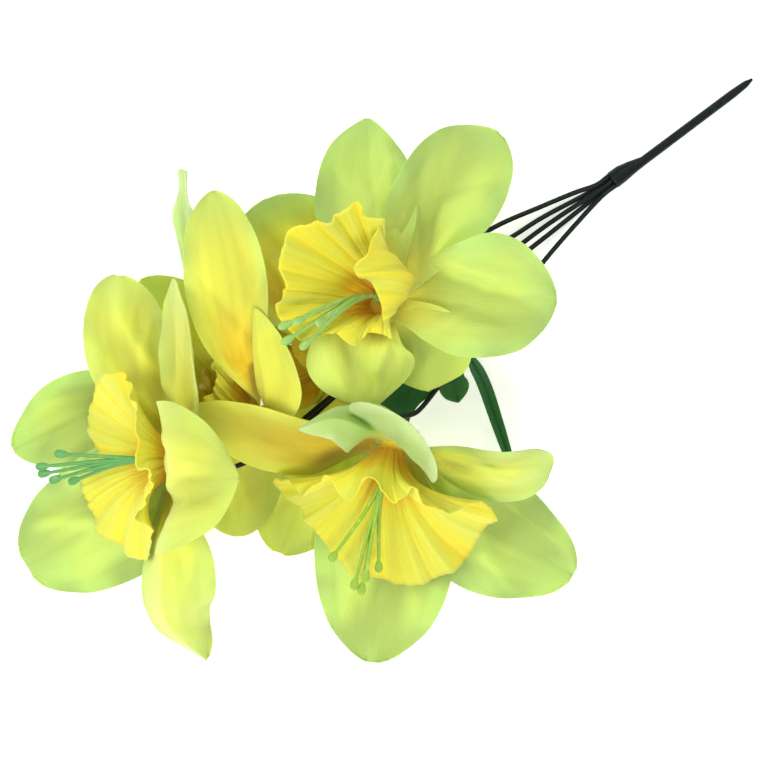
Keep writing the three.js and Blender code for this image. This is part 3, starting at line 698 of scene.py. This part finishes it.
def cut_edge(seed):
    """The die-cut outline isn't quite even: a factor on the width of each half."""
    phases = np.random.default_rng(seed).uniform(0, 2 * math.pi, (2, 3))

    def factor(u, half):
        first, second, third = phases[half]
        slow = 1 + 0.03 * math.sin(7 * u + first) + 0.022 * math.sin(15 * u + second)
        return slow + 0.01 * math.sin(33 * u + third)

    return factor


def petal_warmth(rows, columns, level, root_level, root_reach, margin):
    """How golden the dye is: a level for the blade, another at the root and cooler margins."""
    u = np.asarray(rows)[:, None]
    v = np.abs(np.asarray(columns))[None, :]
    root = (1 - smooth_step(u, 0.05, root_reach)) * (1 - 0.35 * v)
    cool = margin * np.maximum(smooth_step(v, 0.45, 1.0), smooth_step(u, 0.72, 1.0))
    return np.clip(level + (root_level - level) * root - cool, 0, 1)


print("petal grid:", len(PETAL_ROWS), "rows,", len(PETAL_COLUMNS), "columns")

# %% [markdown]
# Each petal has its own tone: how golden the blade is, how golden its root is, how far that reaches
# along it, and how much cooler its margin is. The list follows the petals in the order they were
# laid out. CALM makes the relief weaker on seven of them.

# %% Six petals for each bloom
TONES = {
    "a": [
        (0.24, 0.6, 0.5, 0.1), (0.26, 0.58, 0.5, 0.1), (0.26, 0.6, 0.5, 0.1),
        (0.36, 0.6, 0.5, 0.06), (0.38, 0.62, 0.6, 0.08), (0.74, 0.9, 0.6, 0.05),
    ],
    "b": [
        (0.46, 0.66, 0.7, 0.12), (0.46, 0.7, 0.6, 0.12), (0.44, 0.6, 0.5, 0.08),
        (0.4, 0.6, 0.5, 0.14), (0.26, 0.5, 0.45, 0.1), (0.26, 0.6, 0.6, 0.12),
    ],
    "c": [
        (0.64, 0.74, 0.95, 0.14), (0.12, 0.4, 0.5, 0.08), (0.1, 0.5, 0.5, 0.1),
        (0.42, 0.58, 0.6, 0.2), (0.24, 0.5, 0.5, 0.08), (0.26, 0.6, 0.5, 0.08),
    ],
    "d": [
        (0.5, 0.86, 0.85, 0.16), (0.54, 0.66, 0.7, 0.1), (0.12, 0.4, 0.4, 0.05),
        (0.42, 0.8, 0.9, 0.1), (0.46, 0.6, 0.6, 0.06), (0.5, 0.8, 0.8, 0.1),
    ],
    "e": [
        (0.56, 0.95, 0.8, 0.4), (0.7, 0.86, 0.9, 0.05), (0.44, 0.6, 0.6, 0.06),
        (0.5, 0.8, 0.8, 0.1), (0.4, 0.8, 0.8, 0.1), (0.4, 0.8, 0.8, 0.1),
    ],
}
CALM = {
    ("a", 4): 0.6, ("a", 6): 0.6, ("b", 2): 0.6, ("c", 1): 0.5, ("c", 2): 0.1, ("c", 3): 0.4, ("d", 2): 0.3,
}
petal_count = 0
for letter, bloom in BLOOMS.items():
    centre, facing = middle_and_facing(bloom)
    for number, (petal, tone) in enumerate(zip(bloom["petals"], TONES[letter]), start=1):
        outward = np.array(petal["spine"][0]) - centre
        outward = unit(outward - facing * outward.dot(facing))
        places = [centre + outward * PETAL_ROOT, centre + outward * PETAL_SEAT, *petal["spine"]]
        relief = pressed_relief(100 * ord(letter) + number, CALM.get((letter, number), 1.0))
        edge = cut_edge(7 * ord(letter) + number)
        grid, cloth_map, raised = blade_grid(places, petal, PETAL_ROWS, PETAL_COLUMNS, facing, relief, edge)
        warmth = petal_warmth(PETAL_ROWS, PETAL_COLUMNS, *tone)
        name = f"silk_petal_{letter}{number}"
        piece = grid_piece(name, grid, cloth_map, warmth, petal_silk, CLOTH, raised=raised)
        settle(piece, "petal", f"petals_{letter}")
        petal_count += 1
print("petals:", petal_count)

# %% [markdown]
# The petals of a bloom are joined at a small round patch on the wire's end.
# A turned disc stands for it, hidden between the trumpet and the green cap behind.

# %% Turned shapes and the petals' joined centre
def frame_round(direction):
    """Two unit vectors square to a direction."""
    direction = unit(direction)
    start = np.array([0.0, 0.0, 1.0]) if abs(direction[2]) < 0.9 else np.array([1.0, 0.0, 0.0])
    first = unit(np.cross(direction, start))
    return first, np.cross(direction, first)


def turned(base, direction, profile, sides):
    """A lathe grid: profile is radius and distance along the direction."""
    first, second = frame_round(direction)
    angles = np.arange(sides) * 2 * math.pi / sides
    ring = first * np.cos(angles)[:, None] + second * np.sin(angles)[:, None]
    return np.array([base + unit(direction) * height + ring * radius for radius, height in profile])


DISC_RADIUS = 4.6
DISC_BACK = 1.2
DISC_FRONT = 1.4
DISC_ROUND = 0.4
DISC_SIDES = 24
PATCH_HALF = 0.25
NEAR_AXIS = 0.05
GAP = 0.3
CENTRE_WARMTH = 0.8


def flat_map(grid):
    """A cloth map for a turned or swept grid, from its rows and columns in millimetres."""
    rows, columns = grid.shape[:2]
    down = np.concatenate([[0], np.cumsum(np.linalg.norm(np.diff(grid[:, 0], axis=0), axis=1))])
    around = np.linalg.norm(grid[:, 1] - grid[:, 0], axis=1).max() * np.arange(columns)
    return np.stack(np.meshgrid(around, down), axis=-1) * MM


for letter, bloom in BLOOMS.items():
    centre, facing = middle_and_facing(bloom)
    inner = DISC_RADIUS - DISC_ROUND
    profile = [
        (NEAR_AXIS, -DISC_BACK), (inner, -DISC_BACK), (DISC_RADIUS, -DISC_BACK + DISC_ROUND),
        (DISC_RADIUS, -PATCH_HALF), (PETAL_SEAT, -PATCH_HALF), (PETAL_SEAT, PATCH_HALF),
        (DISC_RADIUS, PATCH_HALF), (DISC_RADIUS, DISC_FRONT - DISC_ROUND), (inner, DISC_FRONT),
        (NEAR_AXIS, DISC_FRONT),
    ]
    grid = turned(centre, facing, profile, DISC_SIDES)
    warmth = np.full(grid.shape[:2], CENTRE_WARMTH)
    piece = grid_piece(f"joined_centre_{letter}", grid, flat_map(grid), warmth, petal_silk, ring=True)
    settle(piece, "petal", f"petals_{letter}")
print("joined centres:", len(BLOOMS))

# %% [markdown]
# The trumpet is a ring of silk gathered at its throat and heat-set in pleats, so it is drawn as lines
# that run from the narrow throat, swell, and end on the free outline of the rim. The pleats stand in
# and out along the wall's own normal and deepen towards the rim, where the edge also ruffles.

# %% The pleated trumpet
THROAT_RADIUS = 5.2
TUBE_LENGTH = 14.0
BELLY = 4.0
PLEATS = 18
PLEAT_DEPTH = 0.9
RUFFLE = 1.3
RIM_SAMPLES = 36
TRUMPET_COLUMNS = 432
TRUMPET_ROWS = np.linspace(0.0, 1.0, 42)


def ring_normals(grid):
    across = np.roll(grid, -1, axis=1) - np.roll(grid, 1, axis=1)
    along = np.gradient(grid, axis=0)
    normals = np.cross(across, along)
    return normals / np.maximum(np.linalg.norm(normals, axis=2, keepdims=True), 1e-9)


def trumpet_lines(bloom, centre, facing):
    """The smooth wall: rows from the throat to the rim, columns round it."""
    rim = [place[:3] for place in bloom["rim"]]
    swells = [place[3] if len(place) > 3 else BELLY for place in bloom["rim"]]
    shares = np.arange(TRUMPET_COLUMNS) / TRUMPET_COLUMNS
    edge = np.array([curve_point(rim, share, closed=True) for share in shares])
    bellies = np.interp(shares * len(rim), np.arange(len(rim) + 1), swells + swells[:1])
    base = centre + facing * (DISC_FRONT + GAP + SEAT)
    right = edge[0] - base
    right = unit(right - facing * right.dot(facing))
    ahead = np.cross(facing, right)
    out = edge - edge[:: TRUMPET_COLUMNS // RIM_SAMPLES].mean(axis=0)
    bearings = np.unwrap(np.arctan2(out @ ahead, out @ right))
    turns = np.sign(bearings[-1] - bearings[0]) * 2 * math.pi
    even = bearings[0] + (bearings - bearings[0] + turns * shares) / 2
    radials = right * np.cos(even)[:, None] + ahead * np.sin(even)[:, None]
    start = base + radials * THROAT_RADIUS
    flare = start + facing * TUBE_LENGTH + radials * bellies[:, None]
    u = TRUMPET_ROWS[:, None, None]
    return start * (1 - u) ** 2 + flare * 2 * u * (1 - u) + edge * u * u, shares


def trumpet_grid(bloom, centre, facing, seed):
    smooth, shares = trumpet_lines(bloom, centre, facing)
    draw = np.random.default_rng(seed)
    u = TRUMPET_ROWS[:, None]
    around = 2 * math.pi * shares
    drift = 1.0 * np.sin(around * 3 + draw.uniform(0, 6)) + 0.7 * np.sin(around * 5 + draw.uniform(0, 6))
    turn = around * PLEATS + drift
    strength = 0.75 + 0.3 * np.sin(around * 4 + draw.uniform(0, 6))
    strength = strength + 0.2 * np.sin(around * 7 + draw.uniform(0, 6))
    fold = -np.cos(turn) * strength
    fine = 0.28 * np.cos(turn * 2.0 + draw.uniform(0, 6)) + 0.16 * np.cos(turn * 4.0 + draw.uniform(0, 6))
    depth = PLEAT_DEPTH * (0.2 + 0.8 * u)
    lobes = np.sin(around * 8 + draw.uniform(0, 6)) + 0.5 * np.sin(around * 13 + draw.uniform(0, 6))
    offset = depth * (fold + fine) + RUFFLE * u ** 4 * lobes
    grid = smooth + ring_normals(smooth) * offset[:, :, None]
    grid[:, :, 2] = np.maximum(grid[:, :, 2], SEAT)
    return grid, offset


for index, (letter, bloom) in enumerate(BLOOMS.items()):
    centre, facing = middle_and_facing(bloom)
    grid, offset = trumpet_grid(bloom, centre, facing, 40 + index)
    # Painted shade in the pleats: the colour follows how far the wall stands in or out, more golden on one
    # side of each pleat and, through the raised map, darker on the other.
    warmth = np.clip(0.9 - 0.72 * smooth_step(TRUMPET_ROWS, 0.05, 0.7)[:, None] - 0.12 * offset, 0, 1)
    name = f"pleated_trumpet_{letter}"
    piece = grid_piece(name, grid, flat_map(grid), warmth, trumpet_silk, CLOTH, True, -offset / 1.5)
    settle(piece, "trumpet", f"trumpet_{letter}")
print("trumpets:", len(BLOOMS))

# %% [markdown]
# Rods follow curves here: the wires and the strands of the stamens with their spoons. The ring
# round each point turns as little as it can from the one before, so the skin doesn't twist.

# %% Swept rods
def swept(points, radii, sides, squash=(1.0, 1.0)):
    """Rings round a line of points; squash scales the two directions of each ring."""
    points = np.asarray(points, dtype=float)
    tangents = np.gradient(points, axis=0)
    tangents /= np.linalg.norm(tangents, axis=1, keepdims=True)
    side = frame_round(tangents[0])[0]
    angles = np.arange(sides) * 2 * math.pi / sides
    rings = []
    for point, tangent, radius in zip(points, tangents, radii):
        side = unit(side - tangent * tangent.dot(side))
        up = np.cross(tangent, side)
        wide = side * np.cos(angles)[:, None] * squash[0]
        rings.append(point + (wide + up * np.sin(angles)[:, None] * squash[1]) * radius)
    return np.array(rings)


print("shape of a short rod's rings:", swept([[0, 0, 0], [0, 0, 1]], [1, 1], 8).shape)

# %% [markdown]
# The moulded stem and the coated wires are a dark green that looks almost black, with a soft gloss.
# The calyces and stamens take the same recipe in lighter colours. Small ripples and rubbed, paler
# places keep the finish from being flat.

# %% Moulded plastic and coating
wear, entry, leave = group_with(
    "rubbed_plastic",
    [
        ("Place", "NodeSocketVector", None),
        ("Scale", "NodeSocketFloat", 300.0),
        ("Amount", "NodeSocketFloat", 0.3),
    ],
    [("Mask", "NodeSocketFloat"), ("Height", "NodeSocketFloat")],
)
blotches = {"Detail": 4.0, "Vector": entry.outputs["Place"], "Scale": entry.outputs["Scale"]}
patches = add_node(wear, "TexNoise", blotches).outputs["Fac"]
lifted = math_node(wear, "SUBTRACT", patches, 0.55)
sharper = math_node(wear, "MULTIPLY", lifted, 5.0, clamp=True)
mask = math_node(wear, "MULTIPLY", sharper, entry.outputs["Amount"])
feed(wear, leave, {"Height": patches, "Mask": mask})


def plastic(name, body, rubbed, roughness, scale, amount, gloss=0.5):
    made, tree, shader = node_material(name)
    place = add_node(tree, "TexCoord", {}).outputs["Object"]
    worn = add_node(tree, "Group", {"Scale": scale, "Amount": amount, "Place": place}, node_tree=wear)
    mask, height = worn.outputs["Mask"], worn.outputs["Height"]
    colours = {"A": linear(*body), "B": linear(*rubbed), "Factor": mask}
    colour = add_node(tree, "Mix", colours, data_type="RGBA")
    rougher = {"Value": mask, "To Min": roughness, "To Max": min(1.0, roughness + 0.25)}
    dull = add_node(tree, "MapRange", rougher)
    bump = add_node(tree, "Bump", {"Strength": 0.2, "Distance": 0.0001, "Height": height})
    feed(tree, shader, {
        "Base Color": colour.outputs["Result"], "Roughness": dull.outputs["Result"],
        "Normal": bump.outputs["Normal"], "Specular IOR Level": gloss,
    })
    return made


wire_coating = plastic("wire_coating", (16, 28, 24), (40, 62, 52), 0.42, 260.0, 0.5, 0.25)
stem_plastic = plastic("stem_plastic", (14, 24, 21), (42, 56, 50), 0.45, 220.0, 0.45, 0.2)
calyx_plastic = plastic("calyx_plastic", (34, 92, 44), (78, 130, 70), 0.45, 240.0, 0.5)
stamen_light = plastic("stamen_light", (158, 204, 104), (222, 238, 198), 0.42, 320.0, 0.8)
stamen_deep = plastic("stamen_deep", (92, 162, 84), (154, 204, 128), 0.42, 320.0, 0.8)
stamen_lime = plastic("stamen_lime", (150, 188, 52), (196, 220, 104), 0.42, 320.0, 0.8)
stamen_gold = plastic("stamen_gold", (206, 176, 34), (226, 206, 84), 0.42, 320.0, 0.8)
STAMEN_FINISH = {"a": stamen_light, "b": stamen_deep, "c": stamen_lime, "d": stamen_gold, "e": stamen_gold}
made = (wire_coating, stem_plastic, calyx_plastic, stamen_light, stamen_deep, stamen_lime, stamen_gold)
print("plastics:", *(finish.name for finish in made))

# %% [markdown]
# The stamens of a bloom are one soft moulding: a peg in the throat from which thin strands run out,
# each ending in a flattened tip like a small spoon. They are green in blooms a, b and c, and gold in
# d and e.

# %% Stamen clusters
STRAND_RADIUS = 0.75
PEG_LENGTH = 5.0
PEG_LIFT = 0.7
SPOON_HALF = 3.0
PEG_SIDES, STRAND_SIDES, SPOON_SIDES = 16, 10, 12
STRAND_STEPS, SPOON_STEPS = 26, 13


def whole_mesh(name, grids, material):
    """Several closed grids of rings in one mesh, each with filled ends."""
    points, faces = [], []
    for grid in grids:
        rows, columns = grid.shape[:2]
        first = len(points)
        last = first + (rows - 1) * columns
        points.extend(to_frame(grid.reshape(-1, 3)).tolist())
        faces += grid_faces(rows, columns, True, first)
        faces.append(tuple(range(first, first + columns))[::-1])
        faces.append(tuple(range(last, last + columns)))
    return mesh_piece(name, points, faces, material)


for letter, bloom in BLOOMS.items():
    centre, facing = middle_and_facing(bloom)
    foot = DISC_FRONT + 2 * GAP + PEG_LIFT
    profile = [(1.6, foot), (1.8, foot + 0.5), (1.5, foot + PEG_LENGTH - 0.6), (1.0, foot + PEG_LENGTH)]
    grids = [turned(centre, facing, profile, PEG_SIDES)]
    for tip in bloom["stamens"]:
        tip = np.array(tip, dtype=float)
        lift = (centre + facing * (foot + 12)) * 0.75 + tip * 0.25 + facing
        places = [centre + facing * (foot + 2), centre + facing * (foot + 7), lift, tip]
        shares = np.linspace(0, 1, STRAND_STEPS)
        points, tangents, _ = even_points(places, shares)
        grids.append(swept(points, STRAND_RADIUS * (1.15 - 0.35 * shares), STRAND_SIDES))
        spread = np.linspace(-1, 1, SPOON_STEPS)
        spoon = tip + tangents[-1] * spread[:, None] * SPOON_HALF
        swell = np.sqrt(np.maximum(1 - spread ** 2, 0)) * (1.45 + 0.4 * spread)
        swell = np.maximum(swell, 0.06)
        grids.append(swept(spoon, swell, SPOON_SIDES, squash=(1.0, 0.55)))
    piece = whole_mesh(f"stamen_cluster_{letter}", grids, STAMEN_FINISH[letter])
    settle(piece, "stamen", f"stamens_{letter}")
print("stamen clusters:", len(BLOOMS))

# %% [markdown]
# Behind each bloom a ribbed green cap grips the wire's end and holds the petals' centre.

# %% Calyx caps
CALYX_LENGTH = 8.0
CALYX_SIDES = 48
CALYX_RIBS = 6
CALYX_PROFILE = [
    (1.3, 0.0), (1.5, 0.3), (1.6, 1.5), (1.9, 3.0), (2.6, 5.0), (3.3, 6.8), (3.6, 7.5), (3.4, CALYX_LENGTH),
]
for letter, bloom in BLOOMS.items():
    centre, facing = middle_and_facing(bloom)
    back = -DISC_BACK - GAP - CALYX_LENGTH
    profile = [(radius, back + height) for radius, height in CALYX_PROFILE]
    grid = turned(centre, facing, profile, CALYX_SIDES)
    axis = grid.mean(axis=1, keepdims=True)
    ribs = 1 - 0.07 * (0.5 + 0.5 * np.cos(np.arange(CALYX_SIDES) * 2 * math.pi * CALYX_RIBS / CALYX_SIDES))
    grid = axis + (grid - axis) * ribs[None, :, None]
    piece = whole_mesh(f"calyx_cap_{letter}", [grid], calyx_plastic)
    settle(piece, "calyx", f"calyx_{letter}")
print("calyx caps:", len(BLOOMS))

# %% [markdown]
# The five wires leave the collar side by side in two layers and bend towards their blooms. Each
# ends straight, just behind its calyx.

# %% Coated wires
STEM_TIP = np.array([134.0, 108.3, 0.0])
STEM_DIRECTION = np.array([-math.cos(STEM_ANGLE), -math.sin(STEM_ANGLE), 0.0])
COLLAR_SIDE = np.array([-STEM_DIRECTION[1], STEM_DIRECTION[0], 0.0])
STEM_SECTIONS = [
    (0, 0.4, 0.4, 0), (3, 1.2, 1.2, 0), (9, 1.5, 1.5, 0), (49, 1.6, 1.6, 0),
    (54, 2.4, 2, -0.7), (58, 3, 2.3, -1), (61.8, 3.1, 2.4, -1), (62.5, 2.9, 2.25, -1),
]
WIRE_SEATS = {"a": (-3.1, 3.5), "e": (-2.1, 1.25), "d": (-1, 3.5), "b": (0.1, 1.25), "c": (1.1, 3.5)}
WIRE_RADIUS = 0.9
WIRE_START = 5.0
WIRE_GAP = 0.06
WIRE_END = 3.0
WIRE_STEPS, WIRE_SIDES = 140, 14
collar_end = STEM_TIP + STEM_DIRECTION * STEM_SECTIONS[-1][0]
for letter, bloom in BLOOMS.items():
    centre, facing = middle_and_facing(bloom)
    aside, height = WIRE_SEATS[letter]
    start = collar_end + STEM_DIRECTION * WIRE_GAP + COLLAR_SIDE * aside + [0, 0, height]
    seat = DISC_BACK + GAP + CALYX_LENGTH + GAP
    ends = [centre - facing * (seat + WIRE_END), centre - facing * seat]
    places = [start, start + STEM_DIRECTION * WIRE_START, *bloom["wire"], *ends]
    points = even_points(places, np.linspace(0, 1, WIRE_STEPS))[0]
    grid = swept(points, np.full(WIRE_STEPS, WIRE_RADIUS), WIRE_SIDES)
    piece = whole_mesh(f"coated_wire_{letter}", [grid], wire_coating)
    settle(piece, "wire", f"wire_{letter}")
print("wires:", len(BLOOMS))

# %% [markdown]
# The main stem is one moulding, pointed at its lower end, with an oval collar that swells to one
# side. It is flat underneath, where it lies on the table, and a faint seam runs along both flanks.

# %% Main stem
STEM_SIDES = 40
SUNK = 0.93
along = np.concatenate([np.linspace(0, 9, 14), np.linspace(9, 49, 12), np.linspace(49, 62.5, 22)])
along = np.unique(along)
knots = np.array(STEM_SECTIONS, dtype=float)
rings = []
for distance in along:
    wide, high, aside = (np.interp(distance, knots[:, 0], knots[:, k]) for k in (1, 2, 3))
    middle = STEM_TIP + STEM_DIRECTION * distance + COLLAR_SIDE * aside + [0, 0, SUNK * high]
    angles = np.arange(STEM_SIDES) * 2 * math.pi / STEM_SIDES
    seam = 1 + 0.05 * np.exp(-((np.sin(angles) * 7) ** 2))
    ring = middle + COLLAR_SIDE * (wide * np.cos(angles) * seam)[:, None]
    ring[:, 2] = np.maximum(0.0, ring[:, 2] + high * np.sin(angles))
    rings.append(ring)
piece = whole_mesh("moulded_stem", [np.array(rings)], stem_plastic)
settle(piece, "stem", "main_stem")
print("stem rings:", len(rings))

# %% [markdown]
# Three leaves of stiff green ribbon stand against the wire of bloom c, each with a pressed fold along
# its middle.

# %% Ribbon leaves
LEAF_SHAPE = (0.45, 0.5, 0.6)
LEAF_ROWS = np.linspace(0.0, 1.0, 49)
LEAF_COLUMNS = np.linspace(-1.0, 1.0, 25)


def leaf_relief(seed):
    draw = np.random.default_rng(seed)
    phase = draw.uniform(0, 6)

    def rise(u, v, along, across):
        fold = -0.5 * math.exp(-((v * 6) ** 2))
        wave = 0.35 * abs(v) ** 2 * math.sin(along / 3.2 + phase + (v > 0))
        return fold + wave

    return rise


for number, leaf in LEAVES.items():
    blade = {"shape": LEAF_SHAPE, **leaf}
    relief = leaf_relief(7 + int(number))
    grid, cloth_map, raised = blade_grid(leaf["spine"], blade, LEAF_ROWS, LEAF_COLUMNS, None, relief)
    v = np.abs(LEAF_COLUMNS)[None, :]
    warmth = np.clip(0.35 + 0.25 * v + 0.15 * LEAF_ROWS[:, None], 0, 1)
    piece = grid_piece(f"ribbon_leaf_{number}", grid, cloth_map, warmth, leaf_silk, CLOTH, raised=raised)
    settle(piece, "leaf", f"leaf_{number}")
print("leaves:", len(LEAVES))
